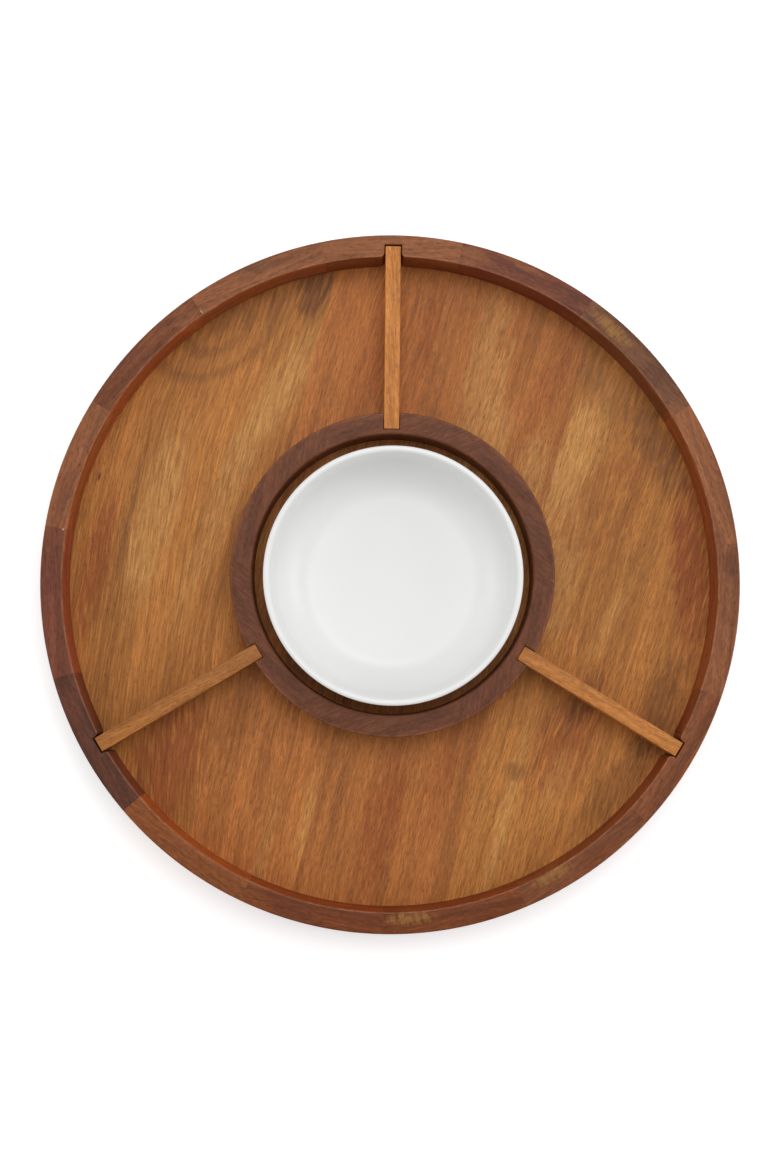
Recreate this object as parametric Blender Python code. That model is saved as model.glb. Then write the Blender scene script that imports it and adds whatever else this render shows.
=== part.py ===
"""Chip and dip server: a round tray turned from glued wood, with three dividers that lift out
of their slots and a glazed bowl that stands loose inside a small ring.

Metres, +Z up. The origin is the centre of the rim's underside, where the tray rests, and the
dividers are named as seen by a person who sits at the -Y side.
"""

import math

import bmesh
import bpy
from mathutils import Matrix, Vector

# Tray: rim and floor board, with the heights in the order that they stack up
TRAY_RADIUS = 0.1905
UNDERSIDE_RECESS = 0.002
FLOOR_THICKNESS = 0.010
WELL_DEPTH = 0.025
RIM_WIDTH = 0.0122
REBATE_WIDTH = 0.0065
TOP_ROUND = 0.0012
OUTER_TOP_ROUND = 0.0018
BOTTOM_ROUND = 0.0015

# Where the rim's blocks meet, in degrees from +X: they are cut to nearly equal lengths
RIM_JOINTS = (
    6.6, 30.8, 54.7, 78.2, 101.8, 125.3, 149.0, 171.0, 196.3, 220.8, 244.9, 268.9, 292.9, 317.0, 341.0,
)

# Floor board: straight planks, joined along lines that lean to the right
PLANK_LEAN = math.radians(14.2)
PLANK_JOINTS = (-0.0728, -0.0099, 0.0729)

# Ring that holds the bowl, set a little behind the middle of the tray
RING_WIDTH = 0.0119
RING_JOINTS = (56, 116, 176, 236, 296, 356)
RING_CENTRE = Vector((0.0009, 0.0041))

# Dividers: their lines cross at one point, and their slots end on two circles
DIVIDER_THICKNESS = 0.0083
DIVIDER_ANGLES = {
    "divider_back": math.radians(89.7),
    "divider_left": math.radians(210.8),
    "divider_right": math.radians(328.7),
}
DIVIDER_CROSSING = Vector((-0.0003, 0.0050))
SLOT_CENTRE = Vector((-0.0001, 0.0020))
RIM_SLOT_DEPTH = 0.0042
RING_SLOT_DEPTH = 0.0072
DIVIDER_EASE = 0.0004

# Bowl
BOWL_RADIUS = 0.0701
BOWL_HEIGHT = 0.042
BOWL_WALL = 0.0034
BOWL_BASE = 0.0045
BOWL_TAPER = 0.0046
BOWL_CORNER_ROUND = 0.0150
BOWL_LIP_ROUNDING = 0.45  # share of the wall's thickness, so that the lip is always rounded
BOWL_FOOT_SETBACK = 0.0031
BOWL_FOOT_WIDTH = 0.005
BOWL_FOOT_HEIGHT = 0.0028
BOWL_OFFSET = Vector((0.0002, -0.0013))

# Fits
CONTACT_GAP = 0.0003
BOWL_CLEARANCE = 0.0064
SLOT_SIDE_CLEARANCE = 0.0004
SLOT_END_CLEARANCE = 0.0004

# Fineness of the round shapes
RIM_STEPS = 5
RING_STEPS = 8
BOWL_STEPS = 64
FLOOR_POINTS = 90
FILLET_STEPS = 2
LARGE_FILLET = 0.005
LARGE_FILLET_STEPS = 4

# Worked out from the sizes above
FLOOR_TOP = UNDERSIDE_RECESS + FLOOR_THICKNESS
TRAY_HEIGHT = FLOOR_TOP + WELL_DEPTH
STANDING_LEVEL = FLOOR_TOP + CONTACT_GAP
RIM_INNER_RADIUS = TRAY_RADIUS - RIM_WIDTH
REBATE_RADIUS = RIM_INNER_RADIUS + REBATE_WIDTH
RING_INNER_RADIUS = BOWL_RADIUS + BOWL_CLEARANCE
RING_RADIUS = RING_INNER_RADIUS + RING_WIDTH
OUTER_SLOT_RADIUS = RIM_INNER_RADIUS + RIM_SLOT_DEPTH
INNER_SLOT_RADIUS = RING_RADIUS - RING_SLOT_DEPTH
SLOT_WIDTH = DIVIDER_THICKNESS + 2 * SLOT_SIDE_CLEARANCE

WOOD_TONES = {
    "honey": (0.42, 0.19, 0.065),
    "light": (0.27, 0.115, 0.045),
    "warm": (0.19, 0.068, 0.026),
    "brown": (0.13, 0.048, 0.021),
    "purple": (0.095, 0.036, 0.024),
    "dark": (0.060, 0.027, 0.018),
}
RIM_TONES = (
    "light", "dark", "purple", "light", "brown", "purple", "warm", "purple",
    "dark", "warm", "brown", "brown", "brown", "warm", "purple",
)
PLANK_TONES = ("light", "warm", "light", "warm")
RING_TONES = ("purple", "brown", "purple", "brown", "brown", "purple")


def clear_scene():
    for scene_object in list(bpy.data.objects):
        bpy.data.objects.remove(scene_object, do_unlink=True)


def make_material(name, colour, roughness):
    material = bpy.data.materials.new(name)
    material.use_nodes = True
    shader = material.node_tree.nodes["Principled BSDF"]
    shader.inputs["Base Color"].default_value = (*colour, 1.0)
    shader.inputs["Roughness"].default_value = roughness
    shader.inputs["Metallic"].default_value = 0.0
    return material


def make_object(name, mesh_builder, material=None, location=(0.0, 0.0, 0.0), turn=0.0):
    """Turn a finished bmesh into a named object, turned about Z and then moved."""
    bmesh.ops.recalc_face_normals(mesh_builder, faces=mesh_builder.faces)
    mesh = bpy.data.meshes.new(name)
    mesh_builder.to_mesh(mesh)
    mesh_builder.free()
    mesh.shade_smooth()
    mesh.set_sharp_from_angle(angle=math.radians(35))
    if material is not None:
        mesh.materials.append(material)
    new_object = bpy.data.objects.new(name, mesh)
    bpy.context.scene.collection.objects.link(new_object)
    new_object.location = location
    new_object.rotation_euler.z = turn
    return new_object


def rounded_outline(corners):
    """Points of an outline whose corners, given as (radius, height, fillet), are rounded."""
    points = []
    for index, (across, height, fillet) in enumerate(corners):
        corner = Vector((across, height))
        if not fillet:
            points.append(corner)
            continue
        back = (Vector(corners[index - 1][:2]) - corner).normalized()
        ahead = (Vector(corners[(index + 1) % len(corners)][:2]) - corner).normalized()
        half_angle = back.angle(ahead) / 2
        centre = corner + (back + ahead).normalized() * fillet / math.sin(half_angle)
        start = corner + back * fillet / math.tan(half_angle) - centre
        end = corner + ahead * fillet / math.tan(half_angle) - centre
        steps = LARGE_FILLET_STEPS if fillet > LARGE_FILLET else FILLET_STEPS
        for step in range(steps + 1):
            points.append(centre + start.slerp(end, step / steps).normalized() * fillet)
    return points


def swept_segment(outline, first_angle, sweep, steps):
    """A closed outline swept about Z, with a flat cap at each end."""
    builder = bmesh.new()
    vertices = [builder.verts.new((point.x, 0.0, point.y)) for point in outline]
    cap = builder.faces.new(vertices)
    bmesh.ops.rotate(builder, verts=builder.verts, matrix=Matrix.Rotation(first_angle, 3, "Z"))
    bmesh.ops.spin(
        builder, geom=[cap] + cap.edges[:] + cap.verts[:], axis=(0, 0, 1), cent=(0, 0, 0),
        angle=sweep, steps=steps,
    )
    return builder


def segmented_ring(prefix, outline, inner_radius, joints, steps, tones, centre, cutters):
    """Blocks glued end to end from joint to joint, each cut by the slots that reach it."""
    glue_angle = CONTACT_GAP / inner_radius
    for index, (first, last) in enumerate(zip(joints, (*joints[1:], joints[0] + 360))):
        start = math.radians(first)
        pitch = math.radians(last - first)
        builder = swept_segment(outline, start + glue_angle / 2, pitch - glue_angle, steps)
        name = f"{prefix}_{index + 1:02d}"
        tone = WOOD_TONES[tones[index % len(tones)]]
        segment = make_object(name, builder, make_material(name, tone, 0.45), (*centre, 0.0))
        for cutter, cut_points in cutters:
            if any(angle_inside(point - centre, start, pitch) for point in cut_points):
                slot = segment.modifiers.new(cutter.name, "BOOLEAN")
                slot.operation = "DIFFERENCE"
                slot.solver = "EXACT"
                slot.object = cutter


def angle_inside(point, start, sweep):
    return (math.atan2(point.y, point.x) - start) % (2 * math.pi) <= sweep


def distance_to_slot_circle(angle, radius):
    """How far from the crossing point a divider's line meets a slot circle."""
    direction = Vector((math.cos(angle), math.sin(angle)))
    offset = DIVIDER_CROSSING - SLOT_CENTRE
    along = offset.dot(direction)
    aside = offset.cross(direction)
    return math.sqrt(radius ** 2 - aside ** 2) - along


def slot_ends(angle):
    return (
        distance_to_slot_circle(angle, INNER_SLOT_RADIUS),
        distance_to_slot_circle(angle, OUTER_SLOT_RADIUS),
    )


def block(length, width, height):
    """A block that starts at X = 0 and Z = 0 and is centred on Y."""
    builder = bmesh.new()
    bmesh.ops.create_cube(builder, size=1.0)
    bmesh.ops.translate(builder, verts=builder.verts, vec=(0.5, 0.0, 0.5))
    bmesh.ops.scale(builder, verts=builder.verts, vec=(length, width, height))
    return builder


def make_slot_cutters():
    """One cutter for each divider, with the points where its corners cut the two rings."""
    cutters = []
    for name, angle in DIVIDER_ANGLES.items():
        inner_end, outer_end = slot_ends(angle)
        direction = Vector((math.cos(angle), math.sin(angle)))
        side = Vector((-direction.y, direction.x)) * SLOT_WIDTH / 2
        start = DIVIDER_CROSSING + direction * inner_end
        end = DIVIDER_CROSSING + direction * outer_end
        builder = block(outer_end - inner_end, SLOT_WIDTH, 2 * WELL_DEPTH)
        cutter = make_object(f"{name}_slot", builder, None, (*start, FLOOR_TOP), angle)
        cutter.hide_render = True
        cutter.display_type = "WIRE"
        cutters.append((cutter, [start + side, start - side, end + side, end - side]))
    return cutters


def make_rim(cutters):
    outline = rounded_outline([
        (REBATE_RADIUS, 0.0, 0.0),
        (TRAY_RADIUS, 0.0, BOTTOM_ROUND),
        (TRAY_RADIUS, TRAY_HEIGHT, OUTER_TOP_ROUND),
        (RIM_INNER_RADIUS, TRAY_HEIGHT, TOP_ROUND),
        (RIM_INNER_RADIUS, STANDING_LEVEL, 0.0),
        (REBATE_RADIUS, STANDING_LEVEL, 0.0),
    ])
    segmented_ring(
        "rim_segment", outline, RIM_INNER_RADIUS, RIM_JOINTS, RIM_STEPS, RIM_TONES,
        Vector((0.0, 0.0)), cutters,
    )


def make_bowl_ring(cutters):
    outline = rounded_outline([
        (RING_INNER_RADIUS, STANDING_LEVEL, 0.0),
        (RING_RADIUS, STANDING_LEVEL, 0.0),
        (RING_RADIUS, TRAY_HEIGHT, TOP_ROUND),
        (RING_INNER_RADIUS, TRAY_HEIGHT, TOP_ROUND),
    ])
    segmented_ring(
        "ring_segment", outline, RING_INNER_RADIUS, RING_JOINTS, RING_STEPS, RING_TONES,
        RING_CENTRE, cutters,
    )


def make_floor():
    """The floor board sits in the rim's rebate, split into planks along its joints."""
    radius = REBATE_RADIUS - CONTACT_GAP
    edges = (-2 * radius, *PLANK_JOINTS, 2 * radius)
    for index, (left, right) in enumerate(zip(edges, edges[1:])):
        builder = bmesh.new()
        bmesh.ops.create_circle(builder, cap_ends=True, radius=radius, segments=FLOOR_POINTS)
        for joint, outward in ((left + CONTACT_GAP / 2, -1), (right - CONTACT_GAP / 2, 1)):
            everything = builder.verts[:] + builder.edges[:] + builder.faces[:]
            bmesh.ops.bisect_plane(
                builder, geom=everything, plane_co=(joint, 0, 0), plane_no=(outward, 0, 0),
                clear_outer=True,
            )
        raised = bmesh.ops.extrude_face_region(builder, geom=builder.faces[:])["geom"]
        raised_vertices = [item for item in raised if isinstance(item, bmesh.types.BMVert)]
        bmesh.ops.translate(builder, verts=raised_vertices, vec=(0, 0, FLOOR_THICKNESS))
        name = f"floor_plank_{index + 1}"
        material = make_material(name, WOOD_TONES[PLANK_TONES[index % len(PLANK_TONES)]], 0.5)
        make_object(name, builder, material, (0, 0, FLOOR_TOP - FLOOR_THICKNESS), -PLANK_LEAN)


def make_dividers():
    for name, angle in DIVIDER_ANGLES.items():
        inner_end, outer_end = slot_ends(angle)
        length = outer_end - inner_end - 2 * SLOT_END_CLEARANCE
        builder = block(length, DIVIDER_THICKNESS, TRAY_HEIGHT - STANDING_LEVEL)
        bmesh.ops.translate(builder, verts=builder.verts, vec=(-length / 2, 0, 0))
        direction = Vector((math.cos(angle), math.sin(angle)))
        middle = DIVIDER_CROSSING + direction * (inner_end + outer_end) / 2
        material = make_material(name, WOOD_TONES["honey"], 0.5)
        divider = make_object(name, builder, material, (*middle, STANDING_LEVEL), angle)
        ease = divider.modifiers.new("eased_edges", "BEVEL")
        ease.width = DIVIDER_EASE
        ease.segments = 1


def make_bowl():
    """A glazed bowl on a turned foot, its wall widening a little towards the rim."""
    lip_round = BOWL_WALL * BOWL_LIP_ROUNDING
    lower_radius = BOWL_RADIUS - BOWL_TAPER
    outer_corner_round = BOWL_CORNER_ROUND + BOWL_WALL
    foot_radius = lower_radius - outer_corner_round - BOWL_FOOT_SETBACK
    foot_inner_radius = foot_radius - BOWL_FOOT_WIDTH
    underside = BOWL_FOOT_HEIGHT
    inside_floor = underside + BOWL_BASE
    outline = rounded_outline([
        (0.0, underside, 0.0),
        (foot_inner_radius, underside, 0.0),
        (foot_inner_radius, 0.0, 0.0),
        (foot_radius, 0.0, 0.0),
        (foot_radius, underside, 0.0),
        (lower_radius, underside, outer_corner_round),
        (BOWL_RADIUS, BOWL_HEIGHT, lip_round),
        (BOWL_RADIUS - BOWL_WALL, BOWL_HEIGHT, lip_round),
        (lower_radius - BOWL_WALL, inside_floor, BOWL_CORNER_ROUND),
        (0.0, inside_floor, 0.0),
    ])
    builder = bmesh.new()
    vertices = [builder.verts.new((point.x, 0.0, point.y)) for point in outline]
    edges = [builder.edges.new(pair) for pair in zip(vertices, vertices[1:])]
    bmesh.ops.spin(
        builder, geom=vertices + edges, axis=(0, 0, 1), cent=(0, 0, 0),
        angle=2 * math.pi, steps=BOWL_STEPS, use_merge=True,
    )
    bmesh.ops.remove_doubles(builder, verts=builder.verts, dist=0.00001)
    material = make_material("dip_bowl", (0.86, 0.86, 0.84), 0.12)
    make_object("dip_bowl", builder, material, (*(RING_CENTRE + BOWL_OFFSET), STANDING_LEVEL))


clear_scene()
slot_cutters = make_slot_cutters()
make_floor()
make_rim(slot_cutters)
make_bowl_ring(slot_cutters)
make_dividers()
make_bowl()
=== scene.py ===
"""Looks of a chip and dip server: a glued and turned wooden tray with lift-out dividers and a
glazed bowl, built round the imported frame.

Every piece is a Blender operator with its sizes and colours in a property group, listed in a
panel in the 3D view's sidebar. Metres, +Z up, the tray resting on Z = 0.
"""

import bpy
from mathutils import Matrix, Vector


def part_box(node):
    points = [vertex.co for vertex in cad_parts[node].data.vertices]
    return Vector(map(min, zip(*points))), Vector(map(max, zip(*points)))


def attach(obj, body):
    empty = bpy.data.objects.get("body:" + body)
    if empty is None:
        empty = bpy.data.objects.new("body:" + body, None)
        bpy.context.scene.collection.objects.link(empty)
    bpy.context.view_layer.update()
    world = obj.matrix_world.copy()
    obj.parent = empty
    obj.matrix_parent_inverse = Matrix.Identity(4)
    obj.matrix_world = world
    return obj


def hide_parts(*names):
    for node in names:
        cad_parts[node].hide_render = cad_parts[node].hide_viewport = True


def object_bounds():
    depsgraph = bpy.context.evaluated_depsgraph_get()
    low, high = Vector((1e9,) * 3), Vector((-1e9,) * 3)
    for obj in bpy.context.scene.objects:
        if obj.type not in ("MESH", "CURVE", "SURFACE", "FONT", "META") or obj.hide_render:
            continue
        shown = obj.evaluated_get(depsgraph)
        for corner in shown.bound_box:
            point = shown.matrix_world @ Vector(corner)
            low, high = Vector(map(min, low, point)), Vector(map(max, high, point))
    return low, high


bl_info = {
    "name": "Chip and Dip Server",
    "version": (1, 0, 0),
    "blender": (4, 5, 0),
    "location": "View3D > Sidebar > Server",
    "description": "Adds a divided wooden tray with a glazed dip bowl, piece by piece",
    "category": "Add Mesh",
}

import math

import bmesh
import bpy
from bpy.props import FloatProperty, FloatVectorProperty, IntProperty, PointerProperty
from mathutils import Matrix, Vector

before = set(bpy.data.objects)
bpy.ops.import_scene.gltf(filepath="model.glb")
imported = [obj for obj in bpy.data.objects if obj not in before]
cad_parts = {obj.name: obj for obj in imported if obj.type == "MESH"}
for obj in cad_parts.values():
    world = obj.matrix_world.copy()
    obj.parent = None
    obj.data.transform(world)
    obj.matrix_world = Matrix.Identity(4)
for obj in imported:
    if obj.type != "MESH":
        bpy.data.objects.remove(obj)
CAD_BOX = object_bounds()

MM = 0.001
SHARP_ANGLE = math.radians(35)
# How far a cutter reaches above the wood that it cuts.
HEAD_ROOM = 2 * MM
# Points this near each other are taken as one.
TOUCHING = MM / 100
FLOOR_STEPS = 360
BOWL_STEPS = 192
# Painted light: an upright wall's colour is deepened to orange for bounce light from the floor, and a
# pale painted highlight runs along its top edge.
PAINTED_BOUNCE_TINT = (1.2, 0.9, 0.64)
PAINTED_EDGE_HIGHLIGHT = (0.53, 0.24, 0.13)

# How a wood is drawn where a piece's own look says nothing else, with lengths in millimetres.
PLAIN_WOOD = {
    "spread": 0.16,  # how far the bands stray from the main colour
    "band": 14.0,  # width of the bands
    "wobble": 9.0,  # how far the grain wanders from side to side
    "bow": 0.0,  # how strongly the grain curves along its run
    "depth": 0.0,  # which layer of the log it is, so that pieces differ
    "fibre_turn": 0.0,  # lean of the fibres against the bands, in degrees
    "stroke": 7.0,  # length of the fine strokes
    "fibre": 0.25,  # strength of the fine strokes
    "lines": 0.06,  # strength of the long thin lines
    "fleck": 0.09,  # strength of the flecks
    "pores": 0.36,  # darkness of the open pores
    "mottle": 0.0,  # strength of the speckle
    "gloss": 0.46,  # lowest roughness of the oiled surface
    "wall": 1.0,  # painted light and shade on an upright wall, lighter or darker by how it faces the lamps
    "worn": 0.3,  # strength of the pale painted highlight along the top edge
}


# ---- What the frame measures --------------------------------------------------------------

def nodes_named(prefix):
    return sorted(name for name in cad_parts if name.startswith(prefix))


def node_points(names):
    return [vertex.co.copy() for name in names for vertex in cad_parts[name].data.vertices]


def round_measures(prefix):
    """Centre, inner and outer radius, lowest and highest level of blocks laid in a ring."""
    names = nodes_named(prefix)
    lows, highs = zip(*(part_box(name) for name in names))
    low = Vector(min(corner[axis] for corner in lows) for axis in range(3))
    high = Vector(max(corner[axis] for corner in highs) for axis in range(3))
    centre = ((low + high) / 2).xy
    distances = [(point.xy - centre).length for point in node_points(names)]
    return centre, min(distances), max(distances), low.z, high.z


def block_angles(name, centre):
    """Where a block of a ring starts and ends, as angles about the ring's centre."""
    low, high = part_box(name)
    toward = ((low + high) / 2).xy - centre
    middle = math.atan2(toward.y, toward.x)
    turns = []
    for point in node_points([name]):
        arm = point.xy - centre
        turn = math.atan2(arm.y, arm.x) - middle
        turns.append((turn + math.pi) % (2 * math.pi) - math.pi)
    return middle + min(turns), middle + max(turns)


def slat_measures(name):
    """Centre, direction, length and thickness of a straight slat, and its lower and upper level."""
    points = node_points([name])
    low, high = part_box(name)
    centre = ((low + high) / 2).xy
    arms = [point.xy - centre for point in points]
    spread = sum(arm.x ** 2 - arm.y ** 2 for arm in arms)
    twist = sum(2 * arm.x * arm.y for arm in arms)
    angle = math.atan2(twist, spread) / 2
    along = Vector((math.cos(angle), math.sin(angle)))
    if along.dot(centre) < 0:
        along.negate()
    length = 2 * max(abs(arm.dot(along)) for arm in arms)
    thickness = 2 * max(abs(arm.cross(along)) for arm in arms)
    return centre, along, length, thickness, low.z, high.z


RIM_CENTRE, RIM_INNER, _, RIM_LOW, RIM_TOP = round_measures("rim_segment")
RIM_OUTER = min(abs(side - middle) for corner in CAD_BOX for side, middle in zip(corner, RIM_CENTRE))
RING_CENTRE, RING_INNER, RING_OUTER, _, RING_TOP = round_measures("ring_segment")
_, _, FLOOR_RADIUS, FLOOR_LOW, FLOOR_TOP = round_measures("floor_plank")
REBATE_RADIUS = min(
    (point.xy - RIM_CENTRE).length
    for point in node_points(nodes_named("rim_segment")) if point.z < RIM_LOW + 0.1 * MM
)
DIVIDERS = nodes_named("divider_")
BOWL_LOW_CORNER, BOWL_HIGH_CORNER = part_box("dip_bowl")
BOWL_CENTRE = ((BOWL_LOW_CORNER + BOWL_HIGH_CORNER) / 2).xy
BOWL_RADIUS = (BOWL_HIGH_CORNER.x - BOWL_LOW_CORNER.x) / 2


# ---- Settings -----------------------------------------------------------------------------

def length(name, description, default):
    """A length of zero or more, in metres."""
    return FloatProperty(
        name=name, description=description, default=default, min=0.0, unit="LENGTH", precision=5,
    )


def colour(name, description, red, green, blue):
    """A colour picked as on screen, from 0 to 255 for each channel."""
    return FloatVectorProperty(
        name=name, description=description, subtype="COLOR", size=3, min=0.0, max=1.0,
        default=tuple(screen_to_linear(channel) for channel in (red, green, blue)),
    )


def screen_to_linear(channel):
    share = channel / 255
    return share / 12.92 if share <= 0.04045 else ((share + 0.055) / 1.055) ** 2.4


class TraySettings(bpy.types.PropertyGroup):
    top_round: length("Top rounding", "Round-over of the rim's and the ring's inner top edge", 1.2 * MM)
    outer_round: length("Outer rounding", "Round-over of the rim's outer top edge", 1.2 * MM)
    ring_round: length("Ring rounding", "Round-over of the ring's outer top edge", 0.5 * MM)
    foot_round: length("Foot rounding", "Round-over of the rim's lower edge", 1.5 * MM)
    glue_line: length("Glue line", "Gap that is left at each glued joint", 0.02 * MM)
    cad_gap: length("Frame gap", "Gap between the frame's own solids", 0.3 * MM)
    rim_side: length("Rim slot side", "Play on each side of a divider in the rim", 0.6 * MM)
    rim_end: length("Rim slot end", "Play at a divider's end in the rim", 0.95 * MM)
    ring_side: length("Ring slot side", "Play on each side of a divider in the ring", 0.3 * MM)
    ring_end: length("Ring slot end", "Play at a divider's end in the ring", 0.25 * MM)
    slot_ease: length("Slot easing", "Round-over of a slot's top edges", 0.5 * MM)
    slot_flare: length("Slot flare", "Rounding of a slot's mouth in a wall", 2.8 * MM)
    plank_lean: FloatProperty(
        name="Plank lean", description="How far the planks lean from the back to the right",
        default=math.radians(14.2), subtype="ANGLE",
    )
    round_steps: IntProperty(
        name="Steps", description="Straight steps for each degree of a block", default=1, min=1,
    )


class DividerSettings(bpy.types.PropertyGroup):
    edge_round: length("Edge rounding", "Rounding of a divider's edges", 0.45 * MM)


class BowlSettings(bpy.types.PropertyGroup):
    wall: length("Wall", "Thickness of the bowl's wall", 3.4 * MM)
    taper: length("Taper", "How much narrower the bowl is at its base", 4.6 * MM)
    corner: length("Inner corner", "Radius inside, between the floor and the wall", 18.0 * MM)
    base: length("Base", "Thickness of the bowl's floor", 4.5 * MM)
    dish: length("Dish", "How much deeper the inside is in the middle", 1.4 * MM)
    foot_height: length("Foot height", "Height of the turned foot", 2.8 * MM)
    foot_setback: length("Foot setback", "How far the foot sits inside the curve", 3.1 * MM)
    foot_width: length("Foot width", "Width of the foot's ring", 5.0 * MM)
    foot_round: length("Foot rounding", "Rounding of the foot's edges", 0.6 * MM)


class WoodSettings(bpy.types.PropertyGroup):
    straw: colour("Straw", "Palest streaks in the floor", 200, 144, 80)
    honey: colour("Honey", "Light floor heartwood", 178, 115, 55)
    amber: colour("Amber", "Middle tone of the floor", 168, 103, 50)
    # Russet and bark also paint shade on the floor beside the rim wall on the right.
    russet_and_shade: colour("Russet", "Reddish floor bands", 150, 80, 38)
    bark_and_shade: colour("Bark", "Dark marks in the floor", 104, 62, 34)
    toffee: colour("Toffee", "Light brown rim block", 138, 84, 52)
    chestnut: colour("Chestnut", "Brown rim block", 121, 69, 40)
    cinnamon: colour("Cinnamon", "Orange-brown rim block", 132, 74, 37)
    cocoa: colour("Cocoa", "Dark brown rim block", 114, 59, 28)
    plum: colour("Plum", "Purple-brown rim block", 114, 63, 44)
    walnut: colour("Walnut", "Darkest rim block", 90, 51, 36)
    olive: colour("Olive", "Grey-green rim block", 110, 70, 47)
    sapwood: colour("Sapwood", "Mottled yellow marks in the rim", 152, 106, 54)
    dusk: colour("Dusk", "Brown of the bowl ring", 109, 64, 42)
    glue: colour("Glue", "Pale dots of glue at a joint", 226, 174, 124)
    cedar: colour("Cedar", "Dividers", 188, 120, 60)


class StageSettings(bpy.types.PropertyGroup):
    eye: FloatVectorProperty(
        name="Camera", description="Where the camera is", size=3, subtype="XYZ", unit="LENGTH",
        default=(-0.0125, -0.0456, 1.0577),
    )
    eye_turn: FloatVectorProperty(
        name="Camera turn", description="How the camera is turned", size=3, subtype="EULER",
        default=(math.radians(2.458), math.radians(-0.685), math.radians(0.21)),
    )
    view_height: FloatProperty(
        name="View height", description="Height that the camera sees at one metre",
        default=0.6224, unit="LENGTH",
    )
    key_power: FloatProperty(
        name="Key light", description="Power of the large soft light", default=8.0,
    )
    right_power: FloatProperty(
        name="Right light", description="Power of the low light on the right", default=6.0,
    )
    left_power: FloatProperty(
        name="Left light", description="Power of the low light on the left", default=4.5,
    )
    sky: FloatProperty(
        name="Surroundings", description="Brightness of the surroundings", default=0.52,
    )
    table_glow: FloatProperty(
        name="Table glow", description="Light from the table's own top", default=0.4,
    )


# ---- Mesh tools ---------------------------------------------------------------------------

def finish_piece(name, builder, body, replaced, material):
    """Turn a bmesh into a piece that rides on a body and stands for the frame's nodes."""
    bmesh.ops.recalc_face_normals(builder, faces=builder.faces)
    mesh = bpy.data.meshes.new(name)
    builder.to_mesh(mesh)
    builder.free()
    mesh.materials.append(material)
    piece = bpy.data.objects.new(name, mesh)
    bpy.context.scene.collection.objects.link(piece)
    shade(mesh)
    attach(piece, body)
    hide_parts(*replaced)
    return piece


def shade(mesh):
    """Smooth shading that breaks at the real edges."""
    mesh.shade_smooth()
    mesh.set_sharp_from_angle(angle=SHARP_ANGLE)


def profile_face(builder, corners, segments=6):
    """An upright outline at Y = 0 whose corners, given as (X, Z, radius), are rounded."""
    vertices = [builder.verts.new((across, 0.0, level)) for across, level, _ in corners]
    builder.faces.new(vertices)
    for vertex, (_, _, radius) in zip(vertices, corners):
        if radius:
            bmesh.ops.bevel(
                builder, geom=[vertex], offset=radius, offset_type="OFFSET", affect="VERTICES",
                segments=segments, profile=0.5, material=-1, clamp_overlap=False,
            )
    return builder.faces[:]


def swept_block(corners, centre, first, last, steps):
    """A block of a ring: the outline swept about Z from one angle to another."""
    builder = bmesh.new()
    profile_face(builder, corners)
    bmesh.ops.rotate(builder, verts=builder.verts, matrix=Matrix.Rotation(first, 3, "Z"))
    bmesh.ops.spin(
        builder, geom=builder.faces[:] + builder.edges[:] + builder.verts[:],
        axis=(0, 0, 1), cent=(0, 0, 0), angle=last - first, steps=steps,
    )
    bmesh.ops.translate(builder, verts=builder.verts, vec=(centre.x, centre.y, 0.0))
    return builder


def extrude(builder, faces):
    """Extrude faces and give back the new points, which stand on the old ones until they move."""
    raised = bmesh.ops.extrude_face_region(builder, geom=faces)["geom"]
    return [item for item in raised if isinstance(item, bmesh.types.BMVert)]


def slot_cutter(tray, divider, side, end):
    """A divider's slot: straight sides, eased outwards where it meets the top."""
    centre, along, slat, thickness, _, top = slat_measures(divider)
    half_length = slat / 2 + end
    half_width = thickness / 2 + side
    height = top - FLOOR_TOP
    builder = bmesh.new()
    bmesh.ops.create_cube(builder, size=2.0)
    bmesh.ops.scale(
        builder, verts=builder.verts, vec=(half_length, half_width, (height - tray.slot_ease) / 2),
    )
    low = min(vertex.co.z for vertex in builder.verts)
    bmesh.ops.translate(builder, verts=builder.verts, vec=(0.0, 0.0, FLOOR_TOP - low))
    for outward, rise in [*easing_moves(tray.slot_ease), (0.0, HEAD_ROOM)]:
        cap = max(builder.faces, key=lambda face: face.calc_center_median().z)
        raised = extrude(builder, [cap])
        bmesh.ops.delete(builder, geom=[cap], context="FACES_ONLY")
        for vertex in raised:
            vertex.co.x += math.copysign(outward, vertex.co.x)
            vertex.co.y += math.copysign(outward, vertex.co.y)
            vertex.co.z += rise
    place_along(builder, along, centre)
    return builder


def easing_moves(radius, steps=4):
    """How far out and up each step of a quarter round goes."""
    turns = [math.pi / 2 * step / steps for step in range(steps + 1)]
    return [
        (radius * (math.cos(before) - math.cos(turn)), radius * (math.sin(turn) - math.sin(before)))
        for before, turn in zip(turns, turns[1:])
    ]


def mouth_cutter(tray, divider):
    """Rounds the two upright edges where a divider's slot opens through the rim's wall."""
    centre, along, _, thickness, _, top = slat_measures(divider)
    offset = centre - RIM_CENTRE
    wall = math.sqrt(RIM_INNER ** 2 - offset.cross(along) ** 2) - offset.dot(along)
    flare = tray.slot_flare
    behind_wall = wall + flare * 1.3
    before_wall = wall - flare
    half_width = thickness / 2 + tray.rim_side
    half_mouth = half_width + flare * 1.5
    builder = bmesh.new()
    profile_face(builder, [
        (behind_wall, -half_width, 0.0),
        (wall, -half_width, flare),
        (wall, -half_mouth, 0.0),
        (before_wall, -half_mouth, 0.0),
        (before_wall, half_mouth, 0.0),
        (wall, half_mouth, 0.0),
        (wall, half_width, flare),
        (behind_wall, half_width, 0.0),
    ])
    bmesh.ops.rotate(builder, verts=builder.verts, matrix=Matrix.Rotation(-math.pi / 2, 3, "X"))
    lifted = extrude(builder, builder.faces[:])
    bmesh.ops.translate(builder, verts=lifted, vec=(0.0, 0.0, top - FLOOR_TOP + HEAD_ROOM))
    bmesh.ops.translate(builder, verts=builder.verts, vec=(0.0, 0.0, FLOOR_TOP))
    place_along(builder, along, centre)
    return builder


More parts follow.
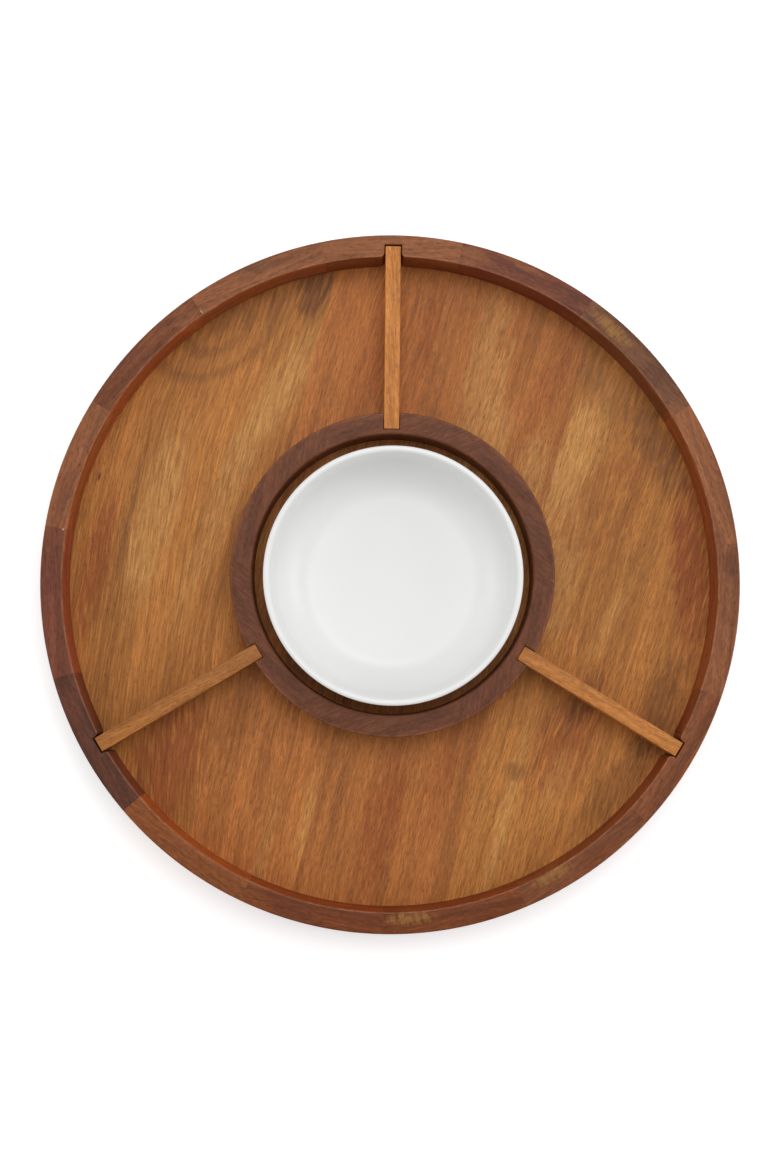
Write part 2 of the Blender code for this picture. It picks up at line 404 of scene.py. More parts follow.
def place_along(builder, along, centre):
    """Turn a shape that runs along X to a direction, and move its middle to a centre."""
    turn = Matrix.Rotation(math.atan2(along.y, along.x), 3, "Z")
    bmesh.ops.rotate(builder, verts=builder.verts, matrix=turn)
    bmesh.ops.translate(builder, verts=builder.verts, vec=(centre.x, centre.y, 0.0))


def cut(piece, cutters):
    """Take each cutter's shape out of a piece, and leave the result in its mesh."""
    for builder in cutters:
        bmesh.ops.recalc_face_normals(builder, faces=builder.faces)
        mesh = bpy.data.meshes.new("cutter")
        builder.to_mesh(mesh)
        builder.free()
        cutter = bpy.data.objects.new("cutter", mesh)
        bpy.context.scene.collection.objects.link(cutter)
        carve = piece.modifiers.new("carve", "BOOLEAN")
        carve.operation = "DIFFERENCE"
        carve.solver = "EXACT"
        carve.object = cutter
        bpy.context.view_layer.update()
        evaluated = piece.evaluated_get(bpy.context.evaluated_depsgraph_get())
        carved = bpy.data.meshes.new_from_object(evaluated)
        piece.modifiers.clear()
        old = piece.data
        piece.data = carved
        carved.name = piece.name
        bpy.data.meshes.remove(old)
        bpy.data.objects.remove(cutter, do_unlink=True)
        bpy.data.meshes.remove(mesh)
    shade(piece.data)


def slots_in_block(first, last):
    """The dividers whose slots fall between two angles."""
    found = []
    for divider in DIVIDERS:
        _, along, *_ = slat_measures(divider)
        turn = (math.atan2(along.y, along.x) - first) % (2 * math.pi)
        if turn < last - first:
            found.append(divider)
    return found


# ---- Material tools -----------------------------------------------------------------------

class Graph:
    """Adds nodes to a material with short calls, each giving back its output socket."""

    def __init__(self, name):
        self.material = bpy.data.materials.new(name)
        self.material.use_nodes = True
        self.tree = self.material.node_tree
        self.shader = self.tree.nodes["Principled BSDF"]

    def node(self, kind, *inputs, **settings):
        """A new node with its settings, and its inputs fed in their order."""
        node = self.tree.nodes.new(kind)
        for key, value in settings.items():
            setattr(node, key, value)
        for socket, value in zip(node.inputs, inputs):
            self.feed(socket, value)
        return node

    def feed(self, socket, value):
        """Link another node's output to an input, or set the input to a value."""
        if value is None:
            return
        if isinstance(value, bpy.types.NodeSocket):
            self.tree.links.new(value, socket)
        else:
            socket.default_value = value

    def math(self, operation, first, second=None):
        return self.node("ShaderNodeMath", first, second, operation=operation).outputs[0]

    def times(self, product, *factors):
        """The product of two or more numbers."""
        for factor in factors:
            product = self.math("MULTIPLY", product, factor)
        return product

    def vector(self, operation, first, second=None):
        """Arithmetic on vectors, in which a length comes out as a number."""
        node = self.node("ShaderNodeVectorMath", first, second, operation=operation)
        return node.outputs["Value" if operation == "LENGTH" else "Vector"]

    def stretch(self, vector, along, across):
        """Coordinates in which a pattern is drawn out along the grain, in millimetres."""
        return self.vector("MULTIPLY", vector, (1000 / along, 1000 / across, 1000 / across))

    def centred(self, vector, location, turn, size=(1.0, 1.0, 1.0)):
        """Coordinates moved to a place, turned with the grain and measured in a given size."""
        node = self.node("ShaderNodeMapping", vector, vector_type="TEXTURE")
        node.inputs["Location"].default_value = location
        node.inputs["Rotation"].default_value = (0.0, 0.0, turn)
        node.inputs["Scale"].default_value = size
        return node.outputs[0]

    def noise(self, vector, detail=2.0, roughness=0.5, scale=1.0):
        """A cloudy pattern of values round 0.5."""
        node = self.node("ShaderNodeTexNoise", vector)
        node.inputs["Scale"].default_value = scale
        node.inputs["Detail"].default_value = detail
        node.inputs["Roughness"].default_value = roughness
        return node.outputs["Fac"]

    def remap(self, value, low, high, to_low=0.0, to_high=1.0, smooth=True):
        """Stretch what lies between two levels over another range, and hold it at its ends."""
        node = self.node("ShaderNodeMapRange", value, low, high, to_low, to_high)
        node.interpolation_type = "SMOOTHSTEP" if smooth else "LINEAR"
        return node.outputs[0]

    def vary(self, pattern, strength, low=0.3, high=0.7):
        """A factor that a pattern moves up and down from 1, as far as its strength."""
        return self.remap(pattern, low, high, 1 - strength, 1 + strength, smooth=False)

    def mix(self, factor, first, second, blend="MIX"):
        """A colour between two others, or the first blended with the second."""
        node = self.node("ShaderNodeMix", data_type="RGBA", blend_type=blend)
        self.feed(node.inputs["Factor"], factor)
        self.feed(node.inputs["A"], opaque(first))
        self.feed(node.inputs["B"], opaque(second))
        return node.outputs["Result"]

    def surface(self, inputs):
        """Set what the surface is like, by the names of the shader's inputs."""
        for name, value in inputs.items():
            self.feed(self.shader.inputs[name], value)

    def relief(self, height, strength, distance):
        """Let a pattern raise and lower the surface, up to a distance."""
        node = self.node("ShaderNodeBump")
        node.inputs["Strength"].default_value = strength
        node.inputs["Distance"].default_value = distance
        self.feed(node.inputs["Height"], height)
        self.surface({"Normal": node.outputs[0]})


def opaque(value):
    """A colour as four numbers, or a socket as it is."""
    if isinstance(value, bpy.types.NodeSocket):
        return value
    return (*value, 1.0)[:4]


def wood_material(name, turn, shift, main, patches=(), swirls=(), round_block=None, **looks):
    """Oiled hardwood whose grain runs at an angle, with its own patches and swirls, and for a ring's
    block painted light on its wall and a painted highlight along its top edge.

    A patch is (x, y, length, width, turn, colour, strength), with a True after it where its grain
    is curled, and a swirl is (x, y, length, width, turn, rings, colour, strength): in millimetres
    on the tray, with turns in degrees. For a block of a ring, round_block holds the ring's centre
    and the radius of the wall that gets painted light, with a painted highlight along its top edge."""
    look = {**PLAIN_WOOD, **looks}
    graph = Graph(name)
    place = graph.node("ShaderNodeTexCoord").outputs["Object"]
    grain = graph.centred(place, (shift.x, shift.y, look["depth"]), turn)
    bent = bent_grain(graph, grain, look)
    fibres = graph.centred(bent, (0.0, 0.0, 0.0), math.radians(look["fibre_turn"]))

    light, dark = tint(main, 1 + look["spread"] * 1.3), tint(main, 1 - look["spread"])
    bands = graph.noise(graph.stretch(bent, 260, look["band"]))
    streaks = graph.noise(graph.stretch(fibres, 60, 3.5), detail=3.0, roughness=0.6)
    tone = graph.math("ADD", graph.times(bands, 0.5), graph.times(streaks, 0.5))
    tone = graph.mix(graph.remap(tone, 0.36, 0.64), dark, light)
    ragged = graph.noise(graph.stretch(fibres, 14, 2.0))
    curled = graph.noise(graph.stretch(grain, 1.6, 9), detail=1.0)
    for patch in patches:
        tone = add_patch(graph, tone, place, (ragged, curled), *patch)
    for swirl in swirls:
        tone = add_swirl(graph, tone, place, ragged, *swirl)
    # A ring's blocks get painted light on their wall and a painted highlight along its top edge.
    if round_block:
        tone = painted_wall_light(graph, tone, place, *round_block, look)

    strokes = graph.noise(graph.stretch(fibres, look["stroke"], 0.6), detail=1.0, roughness=0.6)
    pores = graph.remap(graph.noise(graph.stretch(fibres, 3.6, 0.5), detail=1.0), 0.58, 0.70)
    shading = grain_shading(graph, fibres, strokes, pores, look)
    # Dark grain is warmer than light grain.
    red, blue = graph.math("POWER", shading, 0.85), graph.math("POWER", shading, 1.25)
    warmed = graph.node("ShaderNodeCombineXYZ", red, shading, blue).outputs[0]
    graph.surface({
        "Base Color": graph.vector("MULTIPLY", tone, warmed),
        "Roughness": graph.remap(strokes, 0.3, 0.7, look["gloss"], look["gloss"] + 0.12),
        "Specular IOR Level": 0.2,
    })
    graph.relief(graph.math("SUBTRACT", graph.times(strokes, 0.6), pores), 0.3, 0.06 * MM)
    return graph.material


def bent_grain(graph, grain, look):
    """The grain's coordinates, wandering from side to side and bowed along their run."""
    drift = graph.noise(graph.stretch(grain, 90, 30), detail=1.0)
    drift = graph.times(graph.math("SUBTRACT", drift, 0.5), look["wobble"] * MM)
    if look["bow"]:
        run = graph.node("ShaderNodeSeparateXYZ", grain).outputs["X"]
        drift = graph.math("ADD", drift, graph.times(run, run, look["bow"]))
    sway = graph.node("ShaderNodeCombineXYZ", 0.0, drift, 0.0).outputs[0]
    return graph.vector("ADD", grain, sway)


def spot_on_tray(graph, place, x, y, size, width, turn, height=1.0):
    """Coordinates that reach 1 at the edge of a long spot, and how near its middle they are."""
    spot = graph.centred(
        place, (x * MM, y * MM, 0.0), math.radians(turn), (size / 2 * MM, width / 2 * MM, height),
    )
    return spot, graph.node("ShaderNodeTexGradient", spot, gradient_type="SPHERICAL").outputs["Fac"]


def add_patch(graph, tone, place, threads, x, y, size, width, turn, stain, strength, curl=False):
    """Stain a patch, with its edge frayed by the straight threads or by the curled ones."""
    _, nearness = spot_on_tray(graph, place, x, y, size, width, turn)
    frayed = graph.times(nearness, graph.remap(threads[curl], 0.3, 0.7, 0.35, 1.65))
    return graph.mix(graph.remap(frayed, 0.0, 0.7, 0.0, strength), tone, stain)


def add_swirl(graph, tone, place, ragged, x, y, size, width, turn, rings, stain, strength):
    """Draw rings of stained grain round a place, as round a knot below it."""
    spot, nearness = spot_on_tray(graph, place, x, y, size, width, turn, height=0.2)
    away = graph.math("ADD", graph.vector("LENGTH", spot), graph.times(ragged, 0.16))
    wave = graph.math("SINE", graph.times(away, rings * 2 * math.pi))
    lined = graph.times(graph.remap(nearness, 0.0, 0.35), graph.remap(wave, -0.6, 1.0, 0.25, 1.0))
    return graph.mix(graph.times(lined, strength), tone, stain)


def grain_shading(graph, fibres, strokes, pores, look):
    """How much lighter or darker the fine grain makes the wood."""
    flecks = graph.noise(graph.stretch(fibres, 10, 1.2), detail=1.0)
    lines = graph.noise(graph.stretch(fibres, 90, 1.3), detail=1.0)
    fine = graph.times(graph.vary(flecks, look["fleck"]), graph.vary(lines, look["lines"]))
    open_grain = graph.math("SUBTRACT", 1.0, graph.times(pores, look["pores"]))
    shading = graph.times(graph.vary(strokes, look["fibre"]), fine, open_grain)
    if look["mottle"]:
        speckle = graph.noise(graph.stretch(fibres, 3.4, 1.6), roughness=0.6)
        shading = graph.times(shading, graph.vary(speckle, look["mottle"], 0.32, 0.68))
    return shading


def painted_wall_light(graph, tone, place, centre, edge_radius, look):
    """Painted light: an upright wall tinted deeper for bounce light and made lighter or darker by how
    it faces the lamps, and a pale painted highlight along its top edge.
    """
    flat = graph.vector("MULTIPLY", place, (1.0, 1.0, 0.0))
    reach = graph.vector("LENGTH", graph.vector("SUBTRACT", flat, (centre.x, centre.y, 0.0)))
    away = graph.math("ABSOLUTE", graph.math("SUBTRACT", reach, edge_radius))
    on_wall = graph.remap(away, 0.1 * MM, 0.5 * MM, 1.0, 0.0)
    # Painted light on the wall: a bounce-light tint, lighter or darker by how the wall faces the lamps.
    tone = graph.mix(on_wall, tone, tint(PAINTED_BOUNCE_TINT, look["wall"]), blend="MULTIPLY")
    # Painted highlight: a pale line along the top edge, broken up by noise.
    from_line = graph.math("ABSOLUTE", graph.math("SUBTRACT", away, 0.7 * MM))
    highlight_breaks = graph.noise(graph.stretch(place, 9, 9))
    patchy = graph.remap(highlight_breaks, 0.25, 0.6, 0.25 * look["worn"], look["worn"])
    worn = graph.times(graph.remap(from_line, 0.1 * MM, 0.55 * MM, 1.0, 0.0), patchy)
    return graph.mix(worn, tone, PAINTED_EDGE_HIGHLIGHT)


def tint(tone, strength):
    """A colour made lighter or darker."""
    return tuple(channel * strength for channel in tone)


def glaze_material(name):
    """Thick white glaze, faintly clouded and faintly wavy."""
    graph = Graph(name)
    place = graph.node("ShaderNodeTexCoord").outputs["Object"]
    clouds = graph.noise(place, scale=24.0)
    graph.surface({
        "Base Color": graph.mix(clouds, (0.84, 0.84, 0.83), (0.87, 0.87, 0.86)),
        "Roughness": graph.remap(clouds, 0.3, 0.7, 0.30, 0.36),
        "Specular IOR Level": 0.4,
        "Coat Weight": 0.06,
        "Coat Roughness": 0.12,
    })
    graph.relief(graph.noise(place, detail=1.0, scale=60.0), 0.06, 0.3 * MM)
    return graph.material


# ---- Operators ----------------------------------------------------------------------------

class SERVER_OT_rim(bpy.types.Operator):
    """Add the rim's glued blocks, with the outer ends of the dividers' slots"""
    bl_idname = "server.add_rim"
    bl_label = "Rim"

    def execute(self, context):
        tray, wood = context.scene.server_tray, context.scene.server_wood
        corners = [
            (REBATE_RADIUS, RIM_LOW, 0.0),
            (RIM_OUTER, RIM_LOW, tray.foot_round),
            (RIM_OUTER, RIM_TOP, tray.outer_round),
            (RIM_INNER, RIM_TOP, tray.top_round),
            (RIM_INNER, FLOOR_TOP + tray.glue_line, 0.0),
            (REBATE_RADIUS, FLOOR_TOP + tray.glue_line, 0.0),
        ]

        def cutters(divider):
            return [
                slot_cutter(tray, divider, tray.rim_side, tray.rim_end),
                mouth_cutter(tray, divider),
            ]

        add_blocks(
            tray, "rim_segment", RIM_CENTRE, RIM_INNER, RIM_INNER, corners,
            rim_looks(wood), cutters,
        )
        return {"FINISHED"}


class SERVER_OT_ring(bpy.types.Operator):
    """Add the small ring that holds the bowl, with the inner ends of the dividers' slots"""
    bl_idname = "server.add_ring"
    bl_label = "Bowl ring"

    def execute(self, context):
        tray, wood = context.scene.server_tray, context.scene.server_wood
        corners = [
            (RING_INNER, FLOOR_TOP + tray.glue_line, 0.0),
            (RING_OUTER, FLOOR_TOP + tray.glue_line, 0.0),
            (RING_OUTER, RING_TOP, tray.ring_round),
            (RING_INNER, RING_TOP, tray.top_round),
        ]

        def cutters(divider):
            return [slot_cutter(tray, divider, tray.ring_side, tray.ring_end)]

        add_blocks(
            tray, "ring_segment", RING_CENTRE, RING_INNER, RING_OUTER, corners,
            ring_looks(wood), cutters,
        )
        return {"FINISHED"}


def add_blocks(tray, prefix, centre, inner, edge, corners, looks, cutters):
    """Add a ring's blocks, each swept from the outline of its corners and cut for its dividers."""
    grow = (tray.cad_gap - tray.glue_line) / 2 / inner
    for name, look in zip(nodes_named(prefix), looks):
        first, last = block_angles(name, centre)
        first, last = first - grow, last + grow
        steps = round(math.degrees(last - first)) * tray.round_steps
        builder = swept_block(corners, centre, first, last, steps)
        material = block_wood(f"{name}_wood", centre, inner, edge, first, last, look)
        piece = finish_piece(f"{name}_piece", builder, "tray", [name], material)
        for divider in slots_in_block(first, last):
            cut(piece, cutters(divider))


def block_wood(name, centre, inner, edge, first, last, look):
    """Wood for a block of a ring: its grain runs straight, square to the block's middle."""
    middle = (first + last) / 2
    shift = centre + Vector((math.cos(middle), math.sin(middle))) * inner
    look = {
        "band": 5.0, "wobble": 5.0, "spread": 0.2, "depth": middle, "fibre": 0.13, "mottle": 0.15,
        **look,
    }
    return wood_material(name, middle + math.pi / 2, shift, round_block=(centre, edge), **look)


def rim_mark(angle, inset, size, width, mark_colour, strength, lean=0.0, curl=False):
    """A patch on the rim, placed by its angle and its distance from the inner edge."""
    turn = math.radians(angle)
    spot = RIM_CENTRE + Vector((math.cos(turn), math.sin(turn))) * (RIM_INNER + inset * MM)
    return (spot.x / MM, spot.y / MM, size, width, angle + 90 + lean, mark_colour, strength, curl)


def rim_looks(wood):
    """How each of the rim's blocks looks, counter-clockwise from the right."""
    # Each block's wall value is painted light and shade: it makes that block's upright wall lighter or
    # darker by how the wall faces the lamps.
    return [
        {"main": wood.toffee},
        {"main": wood.olive, "patches": [
            rim_mark(49, 6, 34, 9, wood.sapwood, 0.9, curl=True),
            rim_mark(38, 6, 30, 12, wood.walnut, 0.5, 8),
            rim_mark(31, 6, 16, 20, wood.toffee, 0.7),
        ]},
        {"main": wood.plum, "wall": 0.88, "patches": [
            rim_mark(57, 5, 22, 9, wood.walnut, 0.6, 30),
            rim_mark(62, 8, 24, 5, wood.cocoa, 0.6, 24),
            rim_mark(76, 6, 26, 16, wood.toffee, 0.9, 10),
            rim_mark(67, 10, 44, 6, wood.toffee, 0.8, -5),
        ]},
        {"main": wood.toffee, "wall": 0.72},
        {"main": tint(wood.toffee, 0.94), "patches": [
            rim_mark(113, 9, 40, 7, wood.olive, 0.8, -6),
            rim_mark(125.3, 2.1, 3.6, 1.6, wood.glue, 0.9, 90),
        ]},
        {"main": wood.chestnut, "wall": 1.42, "patches": [
            rim_mark(128, 5, 20, 16, wood.toffee, 0.8, 14),
            rim_mark(131, 9, 34, 5, wood.walnut, 0.6, -22),
            rim_mark(140, 9, 40, 5, wood.plum, 0.9, -12),
        ]},
        {"main": tint(wood.toffee, 0.97), "wall": 1.12, "patches": [
            rim_mark(165, 6, 34, 8, wood.plum, 0.6),
        ]},
        {"main": wood.plum, "wall": 1.58, "patches": [
            rim_mark(172, 8, 16, 16, wood.chestnut, 0.5),
            rim_mark(178, 6, 40, 12, wood.walnut, 0.45),
            rim_mark(170.9, 2.0, 3, 1.8, wood.glue, 0.9),
        ]},
        {"main": wood.walnut, "wall": 1.46, "patches": [
            rim_mark(201, 6, 24, 12, wood.plum, 0.5),
        ]},
        {"main": tint(wood.cinnamon, 1.04), "wall": 1.4},
        {"main": tint(wood.cocoa, 1.1), "wall": 1.26, "patches": [
            rim_mark(254, 8, 34, 8, wood.walnut, 0.4),
            rim_mark(246, 6, 26, 18, wood.cinnamon, 0.7),
        ]},
        {"main": wood.cocoa, "wall": 1.14, "patches": [
            rim_mark(273.5, 4, 34, 9, wood.sapwood, 0.75, curl=True),
        ]},
        {"main": wood.chestnut, "patches": [
            rim_mark(299, 3, 30, 8, wood.sapwood, 0.7, curl=True),
            rim_mark(307, 8, 30, 10, wood.cocoa, 0.6),
        ]},
        {"main": tint(wood.chestnut, 1.05)},
        {"main": tint(wood.toffee, 0.9), "wall": 1.12, "patches": [
            rim_mark(3, 7, 22, 12, wood.walnut, 0.5, 10),
        ]},
    ]


def ring_looks(wood):
    """How each of the ring's blocks looks, counter-clockwise from the right."""
    shades = (1.0, 1.06, 0.98, 0.97, 1.0, 0.95)
    # Each block's outer wall gets the painted bounce-light tint, and its outer top edge a faint painted
    # highlight.
    return [
        {"main": tint(wood.dusk, shade), "band": 9.0, "fibre_turn": 24, "depth": 0.7, "worn": 0.1}
        for shade in shades
    ]


class SERVER_OT_floor(bpy.types.Operator):
    """Add the floor board's planks"""
    bl_idname = "server.add_floor"
    bl_label = "Floor planks"

    def execute(self, context):
        tray, wood = context.scene.server_tray, context.scene.server_wood
        grain_turn = math.pi / 2 - tray.plank_lean
        unlean = Matrix.Rotation(tray.plank_lean, 2)
        grow = (tray.cad_gap - tray.glue_line) / 2
        for name, look in zip(nodes_named("floor_plank"), plank_looks(wood)):
            across = [(unlean @ point.xy).x for point in node_points([name])]
            left, right = min(across) - grow, max(across) + grow
            builder = bmesh.new()
            bmesh.ops.create_circle(builder, cap_ends=True, radius=FLOOR_RADIUS, segments=FLOOR_STEPS)
            for joint, outward in ((left, -1), (right, 1)):
                bmesh.ops.bisect_plane(
                    builder, geom=builder.verts[:] + builder.edges[:] + builder.faces[:],
                    plane_co=(joint, 0, 0), plane_no=(outward, 0, 0), clear_outer=True,
                )
            lifted = extrude(builder, builder.faces[:])
            bmesh.ops.translate(builder, verts=lifted, vec=(0, 0, FLOOR_TOP - FLOOR_LOW))
            bmesh.ops.translate(builder, verts=builder.verts, vec=(0, 0, FLOOR_LOW))
            turn = Matrix.Rotation(-tray.plank_lean, 3, "Z")
            bmesh.ops.rotate(builder, verts=builder.verts, matrix=turn)
            material = wood_material(f"{name}_wood", grain_turn, Vector((0.0, 0.0)), **look)
            finish_piece(f"{name}_piece", builder, "tray", [name], material)
        return {"FINISHED"}


def plank_looks(wood):
    """How each plank looks, from left to right."""
    return [
        {
            "main": wood.honey, "fibre_turn": 3, "depth": 0.1, "stroke": 11, "lines": 0.13, "bow": 0.5,
            "patches": [
                (-68, 98, 150, 26, 60, wood.straw, 0.75),
                (-98, 30, 150, 22, 66, wood.straw, 0.4),
                (-131, 36, 140, 32, 76, wood.straw, 0.75),
                (-140, 40, 130, 24, 76, wood.straw, 0.1),
                (-164, 10, 120, 22, 78, wood.russet_and_shade, 0.7),
                (-146, 34, 180, 5, 78, wood.bark_and_shade, 0.4),
                (-122, -98, 110, 60, 66, wood.russet_and_shade, 0.8),
                (-78, -130, 90, 26, 72, wood.russet_and_shade, 0.35),
                (-43, 166, 54, 24, 76, wood.bark_and_shade, 0.75),
                (-84, 152, 70, 26, 20, wood.bark_and_shade, 0.3),
                (-162.5, 59, 7, 3, 76, wood.bark_and_shade, 0.9),
            ],
            "swirls": [(-98, 142, 110, 70, 30, 3, wood.bark_and_shade, 0.36)],
        },
        {
            "main": tint(wood.amber, 1.1), "fibre_turn": 1, "depth": 0.2, "stroke": 6, "lines": 0.09,
            "bow": 0.15,
            "patches": [
                (-12, 116, 120, 24, 70, wood.russet_and_shade, 0.4),
                (24, 140, 90, 24, 76, wood.russet_and_shade, 0.5),
                (-34, 60, 60, 14, 70, wood.straw, 0.35),
                (-46, -132, 80, 10, 76, wood.straw, 0.5),
                (-70, -150, 90, 10, 76, wood.straw, 0.35),
                (-86, -80, 80, 30, 60, wood.bark_and_shade, 0.2),
            ],
        },
        {
            "main": wood.amber, "fibre_turn": 0, "depth": 0.3, "stroke": 6, "lines": 0.09, "bow": 0.1,
            "patches": [
                (52, 120, 150, 26, 76, wood.straw, 0.55),
                (62, 112, 70, 5, 74, wood.straw, 0.8),
                (52, 70, 100, 34, 76, wood.straw, 0.7),
                (76, 56, 90, 26, 76, wood.straw, 0.65),
                (88, 110, 110, 18, 68, wood.russet_and_shade, 0.45),
                (96, 60, 90, 22, 70, wood.straw, 0.35),
                (-4, -130, 110, 30, 76, wood.russet_and_shade, 0.75),
                (28, -110, 110, 20, 76, wood.russet_and_shade, 0.5),
                (-30, -124, 90, 7, 76, wood.bark_and_shade, 0.35),
            ],
        },
        {
            "main": wood.honey, "fibre_turn": -3, "depth": 0.4, "stroke": 7, "lines": 0.1, "bow": 0.1,
            "patches": [
                (100, 64, 130, 36, 66, wood.straw, 0.8),
                (122, -20, 80, 12, 64, wood.straw, 0.4),
                (94, 2, 110, 30, 76, wood.straw, 0.65),
                (98, -88, 90, 44, 66, wood.russet_and_shade, 0.7),
                # Painted shade: a darker band along the rim wall at the lower right.
                (128, -108, 120, 24, 50, wood.bark_and_shade, 0.35),
                (64, -128, 130, 12, 75, wood.straw, 0.6),
                (92, -110, 60, 20, 70, wood.straw, 0.3),
                # Painted shade along the rim wall on the right.
                (168, 10, 130, 30, 92, wood.russet_and_shade, 0.9),
                (116, 116, 70, 30, 120, wood.bark_and_shade, 0.3),
                # The next two patches are painted shade along the rim wall on the right.
                (150, 76, 90, 30, 116, wood.bark_and_shade, 0.55),
                (150, -70, 90, 30, 66, wood.bark_and_shade, 0.4),
                (108, -64, 60, 18, 56, wood.bark_and_shade, 0.45),
                (70, -104, 14, 18, 76, wood.bark_and_shade, 0.5),
            ],
            "swirls": [(118, 44, 100, 50, 50, 2, wood.russet_and_shade, 0.3)],
        },
    ]


class SERVER_OT_dividers(bpy.types.Operator):
    """Add the three lift-out dividers"""
    bl_idname = "server.add_dividers"
    bl_label = "Dividers"

    def execute(self, context):
        settings, wood = context.scene.server_divider, context.scene.server_wood
        for name, look in zip(DIVIDERS, divider_looks(wood)):
            centre, along, slat, thickness, low, top = slat_measures(name)
            builder = bmesh.new()
            bmesh.ops.create_cube(builder, size=1.0)
            bmesh.ops.scale(builder, verts=builder.verts, vec=(slat, thickness, top - low))
            bmesh.ops.translate(builder, verts=builder.verts, vec=(0, 0, (top + low) / 2))
            bmesh.ops.bevel(
                builder, geom=builder.edges[:], offset=settings.edge_round, offset_type="OFFSET",
                affect="EDGES", segments=3, profile=0.5, material=-1,
            )
            place_along(builder, along, centre)
            turn = math.atan2(along.y, along.x)
            material = wood_material(f"{name}_wood", turn, centre, **look)
            body = name.replace("divider_", "") + "_divider"
            finish_piece(f"{name}_piece", builder, body, [name], material)
        return {"FINISHED"}


def divider_looks(wood):
    """How each divider looks, in the order of their names."""
    shared = {"band": 4.0, "wobble": 3.0, "fibre": 0.18, "mottle": 0.13}
    return [
        {"main": tint(wood.cedar, 1.06), "depth": 0.0, "fibre_turn": 4, **shared},
        {"main": tint(wood.cedar, 0.79), "depth": 0.05, "fibre_turn": -6, **shared},
        {"main": tint(wood.cedar, 0.91), "depth": 0.1, "fibre_turn": 5, **shared},
    ]


class SERVER_OT_bowl(bpy.types.Operator):
    """Add the glazed bowl that stands loose in the ring"""
    bl_idname = "server.add_bowl"
    bl_label = "Bowl"

    def execute(self, context):
        bowl = context.scene.server_bowl
        low, high = BOWL_LOW_CORNER.z, BOWL_HIGH_CORNER.z
        belly = BOWL_RADIUS - bowl.taper
        outer_corner = bowl.corner + bowl.wall
        foot = belly - outer_corner - bowl.foot_setback
        underside = low + bowl.foot_height
        inside = underside + bowl.base
        lip = bowl.wall * 0.45
        builder = bmesh.new()
        profile_face(builder, [
            (0.0, underside, 0.0),
            (foot - bowl.foot_width, underside, bowl.foot_round),
            (foot - bowl.foot_width, low, bowl.foot_round),
            (foot, low, bowl.foot_round),
            (foot, underside, bowl.foot_round),
            (belly, underside, outer_corner),
            (BOWL_RADIUS, high, lip),
            (BOWL_RADIUS - bowl.wall, high, lip),
            (belly - bowl.wall, inside, bowl.corner),
            (0.0, inside - bowl.dish, 0.0),
        ], segments=12)
        bmesh.ops.delete(builder, geom=builder.faces[:], context="FACES_ONLY")
        axis = [
            edge for edge in builder.edges if all(abs(vertex.co.x) < TOUCHING for vertex in edge.verts)
        ]
        bmesh.ops.delete(builder, geom=axis, context="EDGES")
        bmesh.ops.spin(
            builder, geom=builder.verts[:] + builder.edges[:], axis=(0, 0, 1), cent=(0, 0, 0),
            angle=2 * math.pi, steps=BOWL_STEPS, use_merge=True,
        )
        bmesh.ops.remove_doubles(builder, verts=builder.verts, dist=TOUCHING)
        bmesh.ops.translate(builder, verts=builder.verts, vec=(BOWL_CENTRE.x, BOWL_CENTRE.y, 0.0))
        material = glaze_material("bowl_glaze")
        finish_piece("dip_bowl_piece", builder, "bowl", ["dip_bowl"], material)
        return {"FINISHED"}


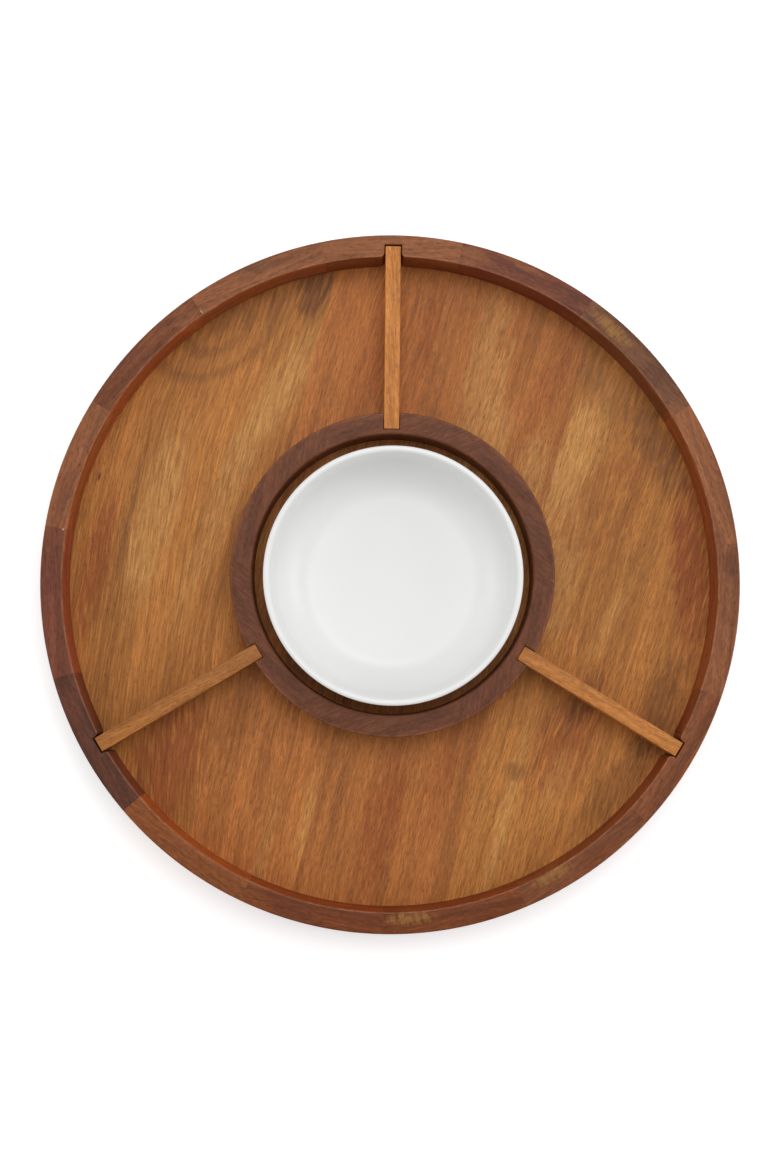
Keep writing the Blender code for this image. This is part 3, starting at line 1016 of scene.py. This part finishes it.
class SERVER_OT_stage(bpy.types.Operator):
    """Add the pale table, the soft lights and the camera"""
    bl_idname = "server.add_stage"
    bl_label = "Stage"

    def execute(self, context):
        stage = context.scene.server_stage
        table_reach = 6.0
        builder = bmesh.new()
        bmesh.ops.create_grid(builder, x_segments=1, y_segments=1, size=table_reach)
        mesh = bpy.data.meshes.new("stage_floor")
        builder.to_mesh(mesh)
        builder.free()
        paper = Graph("pale_paper")
        paper.surface({
            "Base Color": (0.92, 0.92, 0.92, 1.0),
            "Roughness": 0.9,
            "Emission Color": (1.0, 1.0, 1.0, 1.0),
            "Emission Strength": stage.table_glow,
            "Specular IOR Level": 0.1,
        })
        mesh.materials.append(paper.material)
        floor = bpy.data.objects.new("stage_floor", mesh)
        context.scene.collection.objects.link(floor)

        add_area_light(
            context, "key_light", place=(0.12, 0.44, 1.49), width=0.8, power=stage.key_power,
        )
        add_area_light(
            context, "right_light", place=(1.60, 0.20, 0.75), width=0.9, power=stage.right_power,
        )
        add_area_light(
            context, "left_light", place=(-1.60, 0.20, 0.75), width=0.9, power=stage.left_power,
        )

        world = bpy.data.worlds.new("studio")
        world.use_nodes = True
        background = world.node_tree.nodes["Background"]
        background.inputs["Color"].default_value = (1.0, 1.0, 1.0, 1.0)
        background.inputs["Strength"].default_value = stage.sky
        context.scene.world = world
        context.scene.view_settings.view_transform = "Standard"

        sensor_height = 36.0
        camera_data = bpy.data.cameras.new("camera")
        camera_data.sensor_fit = "VERTICAL"
        camera_data.sensor_height = sensor_height
        camera_data.lens = sensor_height / stage.view_height
        camera = bpy.data.objects.new("camera", camera_data)
        camera.location = stage.eye
        camera.rotation_euler = stage.eye_turn
        context.scene.collection.objects.link(camera)
        context.scene.camera = camera
        return {"FINISHED"}


def add_area_light(context, name, place, width, power):
    """A square soft light that faces the tray."""
    light = bpy.data.lights.new(name, "AREA")
    light.shape = "SQUARE"
    light.size = width
    light.energy = power
    lamp = bpy.data.objects.new(name, light)
    lamp.location = place
    lamp.rotation_euler = (-Vector(place)).to_track_quat("-Z", "Y").to_euler()
    context.scene.collection.objects.link(lamp)


class SERVER_PT_panel(bpy.types.Panel):
    bl_idname = "SERVER_PT_panel"
    bl_label = "Chip and Dip Server"
    bl_space_type = "VIEW_3D"
    bl_region_type = "UI"
    bl_category = "Server"

    def draw(self, context):
        for operator in OPERATORS:
            self.layout.operator(operator.bl_idname)
        for settings in SETTINGS:
            group = getattr(context.scene, settings)
            box = self.layout.box()
            for key in group.bl_rna.properties.keys():
                if key not in ("rna_type", "name"):
                    box.prop(group, key)


SETTINGS = {
    "server_tray": TraySettings,
    "server_divider": DividerSettings,
    "server_bowl": BowlSettings,
    "server_wood": WoodSettings,
    "server_stage": StageSettings,
}
OPERATORS = (
    SERVER_OT_floor, SERVER_OT_rim, SERVER_OT_ring,
    SERVER_OT_dividers, SERVER_OT_bowl, SERVER_OT_stage,
)


def register():
    for item in (*SETTINGS.values(), *OPERATORS, SERVER_PT_panel):
        bpy.utils.register_class(item)
    for name, settings in SETTINGS.items():
        setattr(bpy.types.Scene, name, PointerProperty(type=settings))


def unregister():
    for name in SETTINGS:
        delattr(bpy.types.Scene, name)
    for item in (SERVER_PT_panel, *reversed(OPERATORS), *SETTINGS.values()):
        bpy.utils.unregister_class(item)


def main():
    register()
    bpy.ops.server.add_floor()
    bpy.ops.server.add_rim()
    bpy.ops.server.add_ring()
    bpy.ops.server.add_dividers()
    bpy.ops.server.add_bowl()
    bpy.ops.server.add_stage()
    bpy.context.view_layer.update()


if __name__ == "__main__":
    main()
